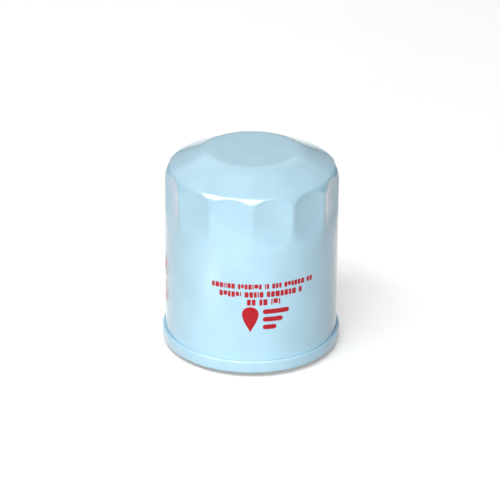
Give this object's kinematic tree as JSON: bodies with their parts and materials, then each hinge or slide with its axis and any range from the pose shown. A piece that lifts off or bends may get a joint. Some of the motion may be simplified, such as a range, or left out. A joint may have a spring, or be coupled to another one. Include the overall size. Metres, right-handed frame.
{
  "type": "oil filter",
  "caption": "Spin-on oil filter: painted steel can with a domed, fluted end and a rolled seam, a threaded base plate with a gasket, and the whole filter element and valves inside.",
  "frame": {"origin": "centre of the gasket's sealing face", "axes": "+Z along the thread's axis, from the gasket to the domed end"},
  "size_m": [0.0772, 0.0772, 0.0889],
  "materials": {
    "can_paint": "gloss",
    "plate_steel": "zinc-plated, satin",
    "tin_plate": "satin",
    "spring_steel": "satin",
    "nitrile": "matte",
    "silicone": "satin",
    "sealant": "matte",
    "adhesive": "satin",
    "paper": "matte"
  },
  "bodies": {
    "housing": {"can": "can_paint", "seam_cover": "can_paint", "seam_sealant": "sealant", "base_plate": "plate_steel", "sealing_gasket": "nitrile", "element_spring": "spring_steel"},
    "element": {"lower_end_cap": "tin_plate", "lower_potting": "adhesive", "center_tube": "tin_plate", "filter_media": "paper", "media_seam_clip": "tin_plate", "upper_potting": "adhesive", "upper_end_cap": "tin_plate", "bypass_seat_plate": "tin_plate", "bypass_cage": "tin_plate", "bypass_spring": "spring_steel", "spring_cup": "tin_plate"},
    "bypass_valve": {"bypass_poppet": "plate_steel", "bypass_seal": "nitrile"},
    "anti_drain_lip": {"anti_drain_valve": "silicone"}
  },
  "joints": [
    {"name": "element_float", "type": "slide", "parent": "housing", "child": "element", "axis": [0, 0, 1], "range_m": [0, 0.0015], "stiffness_N_per_m": 600, "springref_m": -0.01, "deforming": ["element_spring"]},
    {"name": "bypass_lift", "type": "slide", "parent": "element", "child": "bypass_valve", "axis": [0, 0, -1], "range_m": [0, 0.003], "stiffness_N_per_m": 200, "springref_m": -0.004, "deforming": ["bypass_spring"]},
    {"name": "anti_drain_lift", "type": "slide", "parent": "housing", "child": "anti_drain_lip", "axis": [0, 0, 1], "range_m": [0, 0.0012], "stiffness_N_per_m": 100, "springref_m": -0.002, "deforming": ["anti_drain_valve"]}
  ]
}
